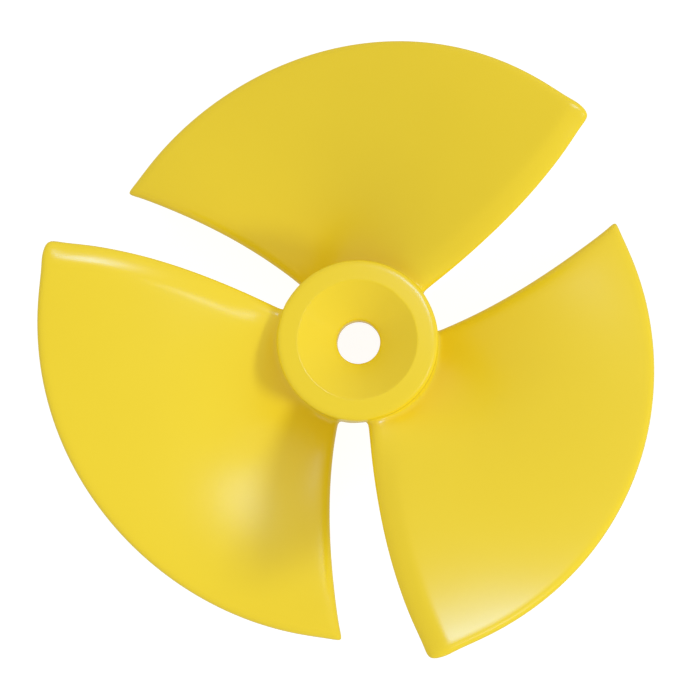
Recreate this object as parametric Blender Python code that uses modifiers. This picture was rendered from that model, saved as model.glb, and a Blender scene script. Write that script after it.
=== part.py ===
"""Pool cleaner impeller, moulded in one piece.

A short hub with a dished front carries three wide blades that are pitched like
a propeller's. The drive shaft lies on Z, and the front faces +Z. Each blade has
a near edge, which stands forward, and a far edge, which lies back beside the
rear of the hub.
"""

import math

import bmesh
import bpy

# Lengths are in metres and angles in degrees. The origin is the centre of mass.
MM = 0.001

BLADE_COUNT = 3
TIP_RADIUS = 45.0 * MM
TIP_SPAN = 103.1                  # turned by a blade's tip, seen from the front
FAR_CORNER_ANGLE = 146.3          # first blade, anticlockwise from +X
TIP_PITCH_RISE = 24.2 * MM        # far corner to near corner, along the shaft
TIP_PITCH_SWING = 1.3 * MM        # how far the tip leaves a straight helix
TIP_MIDDLE_Z = 2.7 * MM           # half way up the tips, above the origin

# From tip to hub, each edge turns clockwise and moves along the shaft.
FAR_EDGE_TURN = 13.6
FAR_EDGE_TURN_BOW = -1.1
FAR_EDGE_RISE = -1.0 * MM
FAR_EDGE_RISE_BOW = 2.4 * MM
NEAR_EDGE_TURN = 6.6
NEAR_EDGE_TURN_BOW = 1.7
NEAR_EDGE_RISE = -13.1 * MM
NEAR_EDGE_RISE_BOW = 1.4 * MM

BLADE_THICKNESS = 2.7 * MM
BLADE_EDGE_ROUND = 1.2 * MM
BLADE_CORNER_ROUND = 1.6 * MM
BLADE_ROOT_RADIUS = 10.2 * MM     # the root ends inside the hub's wall

HUB_RADIUS = 11.9 * MM
HUB_REAR_RADIUS = 11.5 * MM
HUB_FRONT_Z = TIP_MIDDLE_Z + 2.6 * MM
HUB_LENGTH = 19.3 * MM
RIM_OUTER_ROUND = 1.3 * MM
RIM_INNER_ROUND = 0.9 * MM
DISH_RADIUS = 8.7 * MM            # where the funnel's slope leaves the rim
BORE_RADIUS = 3.25 * MM           # clears a 6 mm shaft screw
WEB_THICKNESS = 2.8 * MM
DISH_DEPTH = 4.0 * MM
SOCKET_RADIUS = 8.2 * MM
SOCKET_MOUTH_CHAMFER = 0.5 * MM

HUB_STEPS = 64
ARC_STEPS = 4
GRID_ACROSS = 22
GRID_INWARD = 9


def arc(centre_r, centre_z, radius, start, end, steps=ARC_STEPS):
    """Points of a profile's arc, with the angles in degrees from outwards to up."""
    points = []
    for i in range(steps + 1):
        angle = math.radians(start + (end - start) * i / steps)
        points.append((centre_r + radius * math.cos(angle),
                       centre_z + radius * math.sin(angle)))
    return points


def hub_profile():
    """The hub's half section: down the outside, up the socket, bore and dish."""
    rear_z = HUB_FRONT_Z - HUB_LENGTH
    bore_top_z = HUB_FRONT_Z - DISH_DEPTH
    web_z = bore_top_z - WEB_THICKNESS
    slope = math.degrees(math.atan2(DISH_DEPTH, DISH_RADIUS - BORE_RADIUS))

    points = arc(HUB_RADIUS - RIM_OUTER_ROUND, HUB_FRONT_Z - RIM_OUTER_ROUND,
                 RIM_OUTER_ROUND, 90, 0)
    points += [
        (HUB_REAR_RADIUS, rear_z),
        (SOCKET_RADIUS + SOCKET_MOUTH_CHAMFER, rear_z),
        (SOCKET_RADIUS, rear_z + SOCKET_MOUTH_CHAMFER),
        (SOCKET_RADIUS, web_z),
        (BORE_RADIUS, web_z),
        (BORE_RADIUS, bore_top_z),
    ]
    # The rim rolls over into the funnel with an arc tangent to both.
    reach = RIM_INNER_ROUND * math.tan(math.radians(slope / 2))
    points += arc(DISH_RADIUS + reach, HUB_FRONT_Z - RIM_INNER_ROUND,
                  RIM_INNER_ROUND, 90 + slope, 90)
    return points


def new_object(name, mesh, collection):
    part = bpy.data.objects.new(name, mesh)
    collection.objects.link(part)
    return part


def make_hub(collection):
    """The turned hub, as a profile spun once round the shaft."""
    bm = bmesh.new()
    corners = [bm.verts.new((r, 0.0, z)) for r, z in hub_profile()]
    for i, corner in enumerate(corners):
        bm.edges.new((corner, corners[(i + 1) % len(corners)]))
    mesh = bpy.data.meshes.new("impeller")
    bm.to_mesh(mesh)
    bm.free()

    hub = new_object("impeller", mesh, collection)
    spin = hub.modifiers.new("spin", "SCREW")
    spin.steps = HUB_STEPS
    spin.render_steps = HUB_STEPS
    spin.use_merge_vertices = True
    spin.merge_threshold = 0.00001
    spin.use_normal_calculate = False
    return hub


def along_edge(total, bow, inward):
    """What an edge has gained on its way from the tip (0) to the hub (1)."""
    return total * inward + 4.0 * bow * inward * (1.0 - inward)


def blade_point(across, depth):
    """A point of a blade's middle surface.

    across runs from the far edge (0) to the near edge (1), and depth from the
    tip (0) to the root inside the hub's wall (1).
    """
    radius = TIP_RADIUS - (TIP_RADIUS - BLADE_ROOT_RADIUS) * depth
    inward = (TIP_RADIUS - radius) / (TIP_RADIUS - HUB_RADIUS)

    far_turn = along_edge(FAR_EDGE_TURN, FAR_EDGE_TURN_BOW, inward)
    near_turn = TIP_SPAN + along_edge(NEAR_EDGE_TURN, NEAR_EDGE_TURN_BOW, inward)
    turn = far_turn + (near_turn - far_turn) * across
    angle = math.radians(FAR_CORNER_ANGLE - turn)

    far_z = -TIP_PITCH_RISE / 2 + along_edge(FAR_EDGE_RISE, FAR_EDGE_RISE_BOW, inward)
    near_z = TIP_PITCH_RISE / 2 + along_edge(NEAR_EDGE_RISE, NEAR_EDGE_RISE_BOW, inward)
    swing = -TIP_PITCH_SWING * math.sin(2 * math.pi * across)
    z = TIP_MIDDLE_Z + far_z + (near_z - far_z) * across + swing
    return radius * math.cos(angle), radius * math.sin(angle), z


def make_blade(number, collection):
    """One blade: a grid laid on the pitched surface and given its thickness."""
    bm = bmesh.new()
    bmesh.ops.create_grid(bm, x_segments=GRID_ACROSS, y_segments=GRID_INWARD, size=0.5)
    tip_corners = [v for v in bm.verts if abs(v.co.x) > 0.499 and v.co.y < -0.499]
    for vert in bm.verts:
        vert.co = blade_point(vert.co.x + 0.5, vert.co.y + 0.5)
    bmesh.ops.bevel(bm, geom=tip_corners, affect="VERTICES", offset=BLADE_CORNER_ROUND,
                    offset_type="OFFSET", segments=ARC_STEPS, profile=0.5, material=-1)
    bmesh.ops.recalc_face_normals(bm, faces=bm.faces)
    mesh = bpy.data.meshes.new(f"blade_{number}")
    bm.to_mesh(mesh)
    bm.free()

    blade = new_object(f"blade_{number}", mesh, collection)
    blade.rotation_euler.z = math.radians(-360.0 / BLADE_COUNT * number)
    wall = blade.modifiers.new("thickness", "SOLIDIFY")
    wall.thickness = BLADE_THICKNESS
    wall.offset = 0.0
    wall.use_even_offset = True
    rounding = blade.modifiers.new("edge_round", "BEVEL")
    rounding.width = BLADE_EDGE_ROUND
    rounding.segments = 3
    rounding.limit_method = "ANGLE"
    rounding.angle_limit = math.radians(50)
    blade.hide_render = True
    blade.display_type = "WIRE"
    return blade


def yellow_plastic():
    """Injection-moulded yellow plastic with a satin skin."""
    material = bpy.data.materials.new("yellow_plastic")
    material.use_nodes = True
    shader = material.node_tree.nodes["Principled BSDF"]
    shader.inputs["Base Color"].default_value = (0.80, 0.60, 0.035, 1.0)
    shader.inputs["Roughness"].default_value = 0.42
    shader.inputs["Metallic"].default_value = 0.0
    material.diffuse_color = (0.80, 0.60, 0.035, 1.0)
    return material


def main():
    for old in list(bpy.data.objects):
        bpy.data.objects.remove(old, do_unlink=True)
    parts = bpy.data.collections.new("pool_cleaner_impeller")
    guides = bpy.data.collections.new("blade_guides")
    bpy.context.scene.collection.children.link(parts)
    bpy.context.scene.collection.children.link(guides)

    impeller = make_hub(parts)
    for number in range(BLADE_COUNT):
        join = impeller.modifiers.new(f"join_blade_{number}", "BOOLEAN")
        join.operation = "UNION"
        join.solver = "EXACT"
        join.object = make_blade(number, guides)
    impeller.data.materials.append(yellow_plastic())
    impeller.data.shade_smooth()


main()
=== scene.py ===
import math

import bmesh
import bpy
from mathutils import Matrix, Vector


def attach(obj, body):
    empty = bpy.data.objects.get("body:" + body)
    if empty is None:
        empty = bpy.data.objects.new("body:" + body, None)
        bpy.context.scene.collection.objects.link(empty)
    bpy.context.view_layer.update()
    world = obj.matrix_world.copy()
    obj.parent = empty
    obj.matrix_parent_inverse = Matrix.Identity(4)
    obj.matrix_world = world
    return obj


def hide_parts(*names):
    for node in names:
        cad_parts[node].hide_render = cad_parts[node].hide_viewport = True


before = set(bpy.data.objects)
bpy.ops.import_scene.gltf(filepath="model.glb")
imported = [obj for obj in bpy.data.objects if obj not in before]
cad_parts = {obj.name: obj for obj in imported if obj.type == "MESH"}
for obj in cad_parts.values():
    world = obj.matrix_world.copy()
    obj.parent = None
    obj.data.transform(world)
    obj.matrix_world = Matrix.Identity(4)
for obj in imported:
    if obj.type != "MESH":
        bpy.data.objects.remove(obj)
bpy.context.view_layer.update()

mm = 0.001                       # Blender counts in metres

# Lengths in mm and angles in degrees. Heights z are above the middle of the tips.
impeller = {
    "blades": 3,
    "tipMiddleZ": 2.7,           # where the middle of the tips stands in the frame
    "tipRadius": 45.0,
    "tipSpan": 103.1,            # what one blade's tip covers, seen from the front
    "farCornerAngle": 146.3,     # first blade, anticlockwise from +X
    "pitchRise": 24.2,           # far corner to near corner
    "pitchSwing": 1.3,           # how far the tip leaves a straight helix
    "farTurn": (13.6, -1.1),     # each edge from tip to hub: total, bow
    "farRise": (-1.0, 2.4),
    "nearTurn": (6.6, 1.7),
    "nearRise": (-13.1, 1.4),
    "thickness": 2.7,
    "leanFade": 6.0,             # thickness is upright at the hub, square this far out

    # the faces roll off towards a blade's edges
    "nearRoll": (2.3, 1.3),      # width, and depth at the edge on the front face
    "nearRollGrowth": 0.3,       # share that the width gains from tip to hub
    "nearRollStart": 0.04,       # share of the depth at the roll's inner line
    "nearRollHold": 1.5,         # a flat line, this many widths in, keeps that one crisp
    "farRoll": (1.5, 0.5),
    "farRollGrowth": -0.4,
    "tipRollShare": 0.4,         # of an edge's depth, left at the tip's corner
    "tipRollDepth": 0.15,        # least depth along the tip
    "rearRollShare": 0.3,        # of the front's depth, on the rear face
    "rollFade": 8.0,             # no roll at the hub, all of it this far out
    "cornerReach": 0.35,         # makes up for what the rounding takes off a tip's corner

    "hubRadius": 11.9,
    "hubRearRadius": 11.5,
    "hubFrontZ": 2.6,
    "hubLength": 19.3,
    "rimRound": 1.3,
    "rimInner": 0.9,             # where the rim's rounding starts, as a share of it
    "rimCrown": 0.1,             # the rim falls a little towards its outer edge
    "rootFillet": 2.0,           # up the hub's wall
    "rootFlare": (0.6, 5.0),     # near edge thickens towards the hub: height, width
    "flareFade": (3.0, 7.0),     # depths below the hub's front: all of the flare, none
    "rearRound": (0.8, 0.5),     # rear edge of the hub: up the wall, in along the ring

    # the most that each rounding takes of the wall above or below a blade's root
    "rimShare": 0.35,
    "frontFilletShare": 0.45,
    "rearFilletShare": 0.35,
    "rearRoundShare": 0.3,

    "dishRadius": 8.8,
    "dishDepth": 4.0,
    "dishEdge": 0.15,            # half the width of its rounded edge
    "dishRings": (0.4, 1.8, 3.7),    # rings on its slope, out from the bore
    "boreRadius": 3.25,
    "boreEdges": (0.4, 0.35),    # rings this far from its front and rear edges
    "web": 2.8,
    "webRing": 1.3,              # out from the bore
    "socketRadius": 8.2,
    "socketMouth": 0.5,          # chamfer
    "socketMouthRings": (0.8, 1.6),  # beside the chamfer: on the rear ring, on the wall
    "socketCorner": 0.8,         # rings this far from the corner at the web

    "bladeCells": 18,            # mesh columns across one blade's root
    "gapCells": 5,               # and across the gap to the next
    "stations": (13.4, 15.4, 18.0, 21.5, 25.5, 29.5, 33.5, 37.5, 40.5, 43.5, 45.0),
    "roundingLevels": 2,
}

frontLine, rearLine = 4, 5       # rows of the hub's section that the blades grow from


def smoothStep(t):
    t = min(1.0, max(0.0, t))
    return t * t * (3 - 2 * t)


def alongEdge(totalAndBow, inward):
    total, bow = totalAndBow
    return total * inward + 4 * bow * inward * (1 - inward)


# 0 at the tip, 1 at the hub's wall
def inwardShare(p, radius):
    return (p["tipRadius"] - radius) / (p["tipRadius"] - p["hubRadius"])


# where the far and near edges are, clockwise from the first blade's far corner
def edgeTurns(p, radius):
    inward = inwardShare(p, radius)
    return (alongEdge(p["farTurn"], inward),
            p["tipSpan"] + alongEdge(p["nearTurn"], inward))


# middle surface of the first blade: across is 0 at the far edge, 1 at the near edge
def bladeMiddle(p, across, radius):
    inward = inwardShare(p, radius)
    farTurn, nearTurn = edgeTurns(p, radius)
    farZ = -p["pitchRise"] / 2 + alongEdge(p["farRise"], inward)
    nearZ = p["pitchRise"] / 2 + alongEdge(p["nearRise"], inward)
    angle = math.radians(p["farCornerAngle"] - farTurn - (nearTurn - farTurn) * across)
    z = farZ + (nearZ - farZ) * across - p["pitchSwing"] * math.sin(2 * math.pi * across)
    return Vector((radius * math.cos(angle), radius * math.sin(angle), z))


# the outermost cells are as wide as each edge's roll, the others share what is between
def acrossAt(p, cell, radius):
    cells = p["bladeCells"]
    if cell in (0, cells):
        return cell / cells
    inward = inwardShare(p, radius)
    farTurn, nearTurn = edgeTurns(p, radius)
    arc = math.radians(nearTurn - farTurn) * radius
    farCell = p["farRoll"][0] * (1 + p["farRollGrowth"] * inward) / arc
    nearCell = p["nearRoll"][0] * (1 + p["nearRollGrowth"] * inward) / arc
    if cell == cells - 1:
        return 1 - nearCell
    inner = 1 - nearCell * p["nearRollHold"]
    return farCell + (inner - farCell) * (cell - 1) / (cells - 3)


def bladeNormal(p, across, radius):
    step = 0.01                  # share of the blade's width, and mm of the radius
    alongArc = bladeMiddle(p, across + step, radius) - bladeMiddle(p, across - step, radius)
    outward = bladeMiddle(p, across, radius + step) - bladeMiddle(p, across, radius - step)
    normal = alongArc.cross(outward).normalized()
    return normal if normal.z > 0 else -normal


def rootFlare(p, z, radius):
    height, width = p["rootFlare"]
    fullDepth, noneDepth = p["flareFade"]
    depth = p["hubFrontZ"] - z
    near = max(0.0, 1 - (radius - p["hubRadius"]) / width)
    return height * near ** 2 * smoothStep((noneDepth - depth) / (noneDepth - fullDepth))


# a point on the front or rear face of the first blade
def bladeSkin(p, cell, radius, front):
    across = acrossAt(p, cell, radius)
    point = bladeMiddle(p, across, radius)
    normal = bladeNormal(p, across, radius)
    outOfHub = radius - p["hubRadius"]

    depths = {0: p["farRoll"][1], p["bladeCells"]: p["nearRoll"][1],
              p["bladeCells"] - 1: p["nearRoll"][1] * p["nearRollStart"]}
    roll = depths.get(cell, 0.0)
    if radius >= p["tipRadius"]:
        roll = max(p["tipRollShare"] * roll, p["tipRollDepth"])
    roll *= smoothStep(outOfHub / p["rollFade"])

    half = p["thickness"] / 2
    if front:
        reach = half - roll + rootFlare(p, point.z, radius)
    else:
        reach = p["rearRollShare"] * roll - half
    leaning = smoothStep(outOfHub / p["leanFade"])
    point += (Vector((0, 0, 1)) * (reach / normal.z)).lerp(normal * reach, leaning)
    flat = Vector((point.x, point.y)).normalized() * radius
    return Vector((flat.x, flat.y, point.z))


def columnAngle(p, column):
    number, cell = divmod(column, p["bladeCells"] + p["gapCells"])
    start, end = edgeTurns(p, p["hubRadius"])
    sector = 360 / p["blades"]
    if cell <= p["bladeCells"]:
        turn = start + (end - start) * acrossAt(p, cell, p["hubRadius"])
    else:
        gap = (cell - p["bladeCells"]) / p["gapCells"]
        turn = end + (sector + start - end) * gap
    return math.radians(p["farCornerAngle"] - turn - sector * number)


# heights of the front and rear lines round the hub, which fall back through each gap
def rootHeights(p, column):
    cell = column % (p["bladeCells"] + p["gapCells"])
    def heights(c):
        return [bladeSkin(p, c, p["hubRadius"], front).z for front in (True, False)]
    if cell <= p["bladeCells"]:
        return heights(cell)
    share = smoothStep((cell - p["bladeCells"]) / p["gapCells"])
    near, far = heights(p["bladeCells"]), heights(0)
    return [n + (f - n) * share for n, f in zip(near, far)]


# the hub's half section at one column, from the rim down the outside and back up
def hubSection(p, column):
    top = p["hubFrontZ"]
    low = top - p["hubLength"]
    outer, rearOuter = p["hubRadius"], p["hubRearRadius"]
    bore, socket, dish = p["boreRadius"], p["socketRadius"], p["dishRadius"]
    boreTop, crown = top - p["dishDepth"], p["rimCrown"]
    webRear = boreTop - p["web"]
    slope = p["dishDepth"] / (dish - bore)
    rearUp, rearIn = p["rearRound"]
    mouth, corner = p["socketMouth"], p["socketCorner"]
    mouthRing, mouthWall = p["socketMouthRings"]
    boreFront, boreRear = p["boreEdges"]
    front, rear = rootHeights(p, column)
    above, below = top - front, rear - low

    section = [
        (outer - p["rimRound"] * p["rimInner"], top - crown / 2),
        (outer, top - crown),
        (outer, top - crown - min(p["rimRound"], p["rimShare"] * above)),
        (outer, front + min(p["rootFillet"], p["frontFilletShare"] * above)),
        (outer, front),
        (outer, rear),
        (outer, rear - min(p["rootFillet"], p["rearFilletShare"] * below)),
        (rearOuter, low + min(rearUp, p["rearRoundShare"] * below)),
        (rearOuter, low),
        (rearOuter - rearIn, low),
        (socket + mouthRing, low),
        (socket + mouth, low),
        (socket, low + mouth),
        (socket, low + mouthWall),
        (socket, (low + webRear) / 2),
        (socket, webRear - corner),
        (socket, webRear),
        (socket - corner, webRear),
        (bore + p["webRing"], webRear),
        (bore + boreRear, webRear),
        (bore, webRear),
        (bore, webRear + boreRear),
        (bore, boreTop - boreFront),
        (bore, boreTop),
    ]
    rings = [bore + out for out in p["dishRings"]] + [dish - p["dishEdge"], dish]
    section += [(r, top - slope * (dish - r)) for r in rings]
    section.append((dish + p["dishEdge"], top))
    return section


# a closed half section spun once round the shaft, then set column by column
def spinHub(bm, p, row, column):
    columns = (p["bladeCells"] + p["gapCells"]) * p["blades"]
    corners = []
    for number, (r, z) in enumerate(hubSection(p, 0)):
        corner = bm.verts.new((r, 0, z))
        corner[row] = number
        corners.append(corner)
    edges = [bm.edges.new(pair) for pair in zip(corners, corners[1:] + corners[:1])]
    bmesh.ops.spin(bm, geom=corners + edges, cent=(0, 0, 0), axis=(0, 0, 1),
                   angle=-2 * math.pi, steps=columns, use_merge=True)
    sections = [hubSection(p, c) for c in range(columns)]
    for vert in bm.verts:
        turned = -math.atan2(vert.co.y, vert.co.x) / (2 * math.pi) * columns
        vert[column] = round(turned) % columns
        r, z = sections[vert[column]][vert[row]]
        angle = columnAngle(p, vert[column])
        vert.co = (r * math.cos(angle), r * math.sin(angle), z)


# a band of the hub's wall, extruded outwards one station at a time
def growBlade(bm, p, row, column, number):
    first = number * (p["bladeCells"] + p["gapCells"])
    own = set(range(first, first + p["bladeCells"] + 1))
    band = [f for f in bm.faces if {v[row] for v in f.verts} == {frontLine, rearLine}
            and {v[column] for v in f.verts} <= own]
    turn = Matrix.Rotation(math.radians(-360 / p["blades"] * number), 3, "Z")
    for radius in p["stations"]:
        grown = bmesh.ops.extrude_face_region(bm, geom=band)["geom"]
        bmesh.ops.delete(bm, geom=band, context="FACES")
        band = [g for g in grown if isinstance(g, bmesh.types.BMFace)]
        for vert in {v for f in band for v in f.verts}:
            cell = vert[column] - first
            vert.co = turn @ bladeSkin(p, cell, radius, vert[row] == frontLine)

    # the curve through the cage runs inside it, so the tip goes out a little
    swell = 3 / (2 + math.cos(math.radians(p["tipSpan"] / p["bladeCells"])))
    extra = p["cornerReach"] / p["tipRadius"]
    cornerCells = (0, p["bladeCells"] - 1, p["bladeCells"])
    for vert in {v for f in band for v in f.verts}:
        cell = vert[column] - first
        side = {0: 1, p["bladeCells"]: -1}.get(cell, 0)
        out = swell + (extra if cell in cornerCells else 0)
        x, y = vert.co.x * out, vert.co.y * out
        vert.co.x, vert.co.y = x - side * extra * y, y + side * extra * x


def buildImpeller(p):
    bm = bmesh.new()
    row = bm.verts.layers.int.new("row")
    column = bm.verts.layers.int.new("column")
    spinHub(bm, p, row, column)
    print("hub spun:", len(bm.verts), "corners")
    for number in range(p["blades"]):
        growBlade(bm, p, row, column, number)
    print("blades grown:", len(bm.faces), "faces")

    bmesh.ops.translate(bm, verts=bm.verts, vec=(0, 0, p["tipMiddleZ"]))
    bmesh.ops.scale(bm, verts=bm.verts, vec=(mm, mm, mm))
    bmesh.ops.recalc_face_normals(bm, faces=bm.faces)
    for face in bm.faces:
        face.smooth = True
    mesh = bpy.data.meshes.new("impellerMoulding")
    bm.to_mesh(mesh)
    bm.free()
    moulding = bpy.data.objects.new("impellerMoulding", mesh)
    bpy.context.scene.collection.objects.link(moulding)
    rounding = moulding.modifiers.new("rounding", "SUBSURF")
    rounding.levels = p["roundingLevels"]
    rounding.render_levels = p["roundingLevels"]
    return moulding


# an sRGB hex value as the linear colour that Blender's sockets take
def fromHex(code):
    channels = [int(code[i:i + 2], 16) / 255 for i in (1, 3, 5)]
    linear = [c / 12.92 if c <= 0.04045 else ((c + 0.055) / 1.055) ** 2.4 for c in channels]
    return (*linear, 1.0)


# adds one node with its settings, and feeds its inputs from values or other sockets
def addNode(tree, kind, settings={}, inputs={}):
    node = tree.nodes.new(kind)
    for name, value in settings.items():
        setattr(node, name, value)
    for name, value in inputs.items():
        if isinstance(value, bpy.types.NodeSocket):
            tree.links.new(value, node.inputs[name])
        else:
            node.inputs[name].default_value = value
    return node


# the colour drifts between the first two in soft clouds, where the melt flowed
plastic = {
    "colour": "#FADF2A",
    "deepColour": "#F6DA25",
    "flowSize": 16.0,            # mm
    "grainSize": 0.5,            # mm, coarse enough to show: real spark grain is nearer 0.05
    "grainHeight": 0.004,        # mm
    "noiseDetail": 2.0,
    "roughness": 0.25,
    "ior": 1.54,
}


# Injection-moulded ABS: even, opaque colour, with a satin sheen from a fine mould grain
def mouldedAbs(s):
    material = bpy.data.materials.new("mouldedYellowAbs")
    material.use_nodes = True
    tree = material.node_tree
    shader = tree.nodes["Principled BSDF"]
    shader.inputs["Roughness"].default_value = s["roughness"]
    shader.inputs["IOR"].default_value = s["ior"]

    place = addNode(tree, "ShaderNodeTexCoord").outputs["Object"]
    flow = addNode(tree, "ShaderNodeTexNoise", {}, {
        "Vector": place, "Scale": 1 / (s["flowSize"] * mm), "Detail": s["noiseDetail"]})
    # a Mix node's colour sockets share their names with others, so they go by number
    colour = addNode(tree, "ShaderNodeMix", {"data_type": "RGBA"}, {
        0: flow.outputs["Fac"], 6: fromHex(s["colour"]), 7: fromHex(s["deepColour"])})
    tree.links.new(colour.outputs[2], shader.inputs["Base Color"])

    grain = addNode(tree, "ShaderNodeTexNoise", {}, {
        "Vector": place, "Scale": 1 / (s["grainSize"] * mm), "Detail": s["noiseDetail"]})
    bump = addNode(tree, "ShaderNodeBump", {}, {
        "Height": grain.outputs["Fac"], "Distance": s["grainHeight"] * mm})
    tree.links.new(bump.outputs["Normal"], shader.inputs["Normal"])
    print("plastic mixed, grain", s["grainSize"], "mm")
    return material


studio = {
    "floorSize": 3000.0,         # mm from the middle to each side
    "floorColour": "#FFFFFF",
    "floorGlow": 0.92,           # a light table, so shadows on it stay faint
    "floorGrey": 0.22,           # how much of the lamps' light its skin throws back
    "floorRoughness": 0.9,
    "roomColour": "#FFFAE3",     # cream walls
    "room": 0.735,               # brightness round the piece, 1 being a white sheet
    "ground": 0.60,              # and below it
    "horizonBlur": 0.1,          # how softly one runs into the other
    "lampDistance": 600.0,       # mm
}

# direction in degrees, azimuth from +X and elevation; seen width and height; brightness
lamps = {
    "key": (-22, 32, 12, 9, 33.5),
    "backPanel": (68, 32, 90, 60, 0.26),
}
lampColour = "#E3E9FF"           # daylight
# windows that only show as sheen, and cool, so that they pale the yellow
glints = {
    "lowGlint": (-20, 53, 9, 15, 7.0),
    "highGlint": (53, 66, 12, 11, 18.5),
}
glintColour = "#7CBCFF"


def addLamp(name, azimuth, elevation, width, height, brightness, distance, glint=False):
    light = bpy.data.lights.new(name, "AREA")
    light.shape = "RECTANGLE"
    light.size = 2 * distance * math.tan(math.radians(width / 2))
    light.size_y = 2 * distance * math.tan(math.radians(height / 2))
    light.energy = brightness * math.pi * light.size * light.size_y
    light.color = fromHex(glintColour if glint else lampColour)[:3]

    lamp = bpy.data.objects.new(name, light)
    azimuth, elevation = math.radians(azimuth), math.radians(elevation)
    toward = Vector((math.cos(elevation) * math.cos(azimuth),
                     math.cos(elevation) * math.sin(azimuth), math.sin(elevation)))
    lamp.location = toward * distance
    lamp.rotation_euler = toward.to_track_quat("Z", "Y").to_euler()
    # a lamp either lights the piece or shows as sheen on it, and is never seen itself
    lamp.visible_camera = False
    lamp.visible_diffuse = not glint
    lamp.visible_glossy = glint
    bpy.context.scene.collection.objects.link(lamp)


def buildFloor(s, floorZ):
    bm = bmesh.new()
    bmesh.ops.create_grid(bm, x_segments=1, y_segments=1, size=s["floorSize"] * mm)
    bmesh.ops.translate(bm, verts=bm.verts, vec=(0, 0, floorZ))
    mesh = bpy.data.meshes.new("lightTable")
    bm.to_mesh(mesh)
    bm.free()
    floor = bpy.data.objects.new("lightTable", mesh)
    bpy.context.scene.collection.objects.link(floor)

    # opal acrylic lit from below: a dull white skin over an even glow
    opal = bpy.data.materials.new("opalAcrylic")
    opal.use_nodes = True
    shader = opal.node_tree.nodes["Principled BSDF"]
    shader.inputs["Base Color"].default_value = (s["floorGrey"],) * 3 + (1,)
    shader.inputs["Roughness"].default_value = s["floorRoughness"]
    shader.inputs["Specular IOR Level"].default_value = 0.0
    shader.inputs["Emission Color"].default_value = fromHex(s["floorColour"])
    shader.inputs["Emission Strength"].default_value = s["floorGlow"]
    mesh.materials.append(opal)
    # the piece sees the room in the table's place, so its edges don't glow
    floor.visible_diffuse = False
    floor.visible_glossy = False


# a pale room, a little darker below the horizon
def buildRoom(s):
    world = bpy.data.worlds.new("studioRoom")
    world.use_nodes = True
    tree = world.node_tree
    sky = addNode(tree, "ShaderNodeTexCoord")
    direction = addNode(tree, "ShaderNodeSeparateXYZ", {}, {"Vector": sky.outputs["Generated"]})
    shade = addNode(tree, "ShaderNodeMapRange", {}, {
        "Value": direction.outputs["Z"],
        "From Min": -s["horizonBlur"], "From Max": s["horizonBlur"],
        "To Min": s["ground"], "To Max": s["room"]})
    background = tree.nodes["Background"]
    background.inputs["Color"].default_value = fromHex(s["roomColour"])
    tree.links.new(shade.outputs["Result"], background.inputs["Strength"])
    bpy.context.scene.world = world


def buildStudio(s, floorZ):
    buildFloor(s, floorZ)
    buildRoom(s)
    for name, values in lamps.items():
        addLamp(name, *values, s["lampDistance"] * mm)
    for name, values in glints.items():
        addLamp(name, *values, s["lampDistance"] * mm, glint=True)
    print("studio lit by", len(lamps) + len(glints), "lamps")


# the photograph's camera, found from the blades' outline
photoCamera = {
    "tiltX": -1.36,              # degrees
    "tiltY": -6.77,
    "distance": 180.0,           # mm, from the middle of the tips
    "aside": (-3.28, 4.08),      # mm, how far the axis passes beside it: right, down
    "focalPixels": 1214.9,
    "middlePixel": (357.92, 341.10),     # where the middle of the tips shows
    "imageSize": 700,            # pixels each way
    "sensorWidth": 36.0,         # mm
    "clipStart": 10.0,           # mm
}


def placeCamera(s, middleZ):
    tiltX, tiltY = math.radians(s["tiltX"]), math.radians(s["tiltY"])
    right = Vector((math.cos(tiltX), 0, math.sin(tiltX)))
    back = Vector((-math.sin(tiltX) * math.cos(tiltY), math.sin(tiltY),
                   math.cos(tiltX) * math.cos(tiltY)))
    up = back.cross(right)
    asideX, asideY = s["aside"]
    data = bpy.data.cameras.new("photoCamera")
    camera = bpy.data.objects.new("photoCamera", data)
    camera.rotation_euler = Matrix((right, up, back)).transposed().to_euler()
    camera.location = ((back * s["distance"] - right * asideX + up * asideY) * mm
                       + Vector((0, 0, middleZ * mm)))

    size, focal = s["imageSize"], s["focalPixels"]
    data.sensor_width = s["sensorWidth"]
    data.lens = focal / size * data.sensor_width
    axisX = s["middlePixel"][0] - asideX * focal / s["distance"]
    axisY = s["middlePixel"][1] - asideY * focal / s["distance"]
    data.shift_x = (size / 2 - axisX) / size
    data.shift_y = (axisY - size / 2) / size
    data.clip_start = s["clipStart"] * mm
    bpy.context.scene.collection.objects.link(camera)
    bpy.context.scene.camera = camera
    shift = round(data.shift_x, 3), round(data.shift_y, 3)
    print("camera lens", round(data.lens, 2), "shift", *shift)


piece = buildImpeller(impeller)
piece.data.materials.append(mouldedAbs(plastic))
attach(piece, "root")
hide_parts("impeller")

restZ = (impeller["tipMiddleZ"] + impeller["hubFrontZ"] - impeller["hubLength"]) * mm
buildStudio(studio, restZ)
placeCamera(photoCamera, impeller["tipMiddleZ"])
bpy.context.scene.view_settings.view_transform = "Standard"
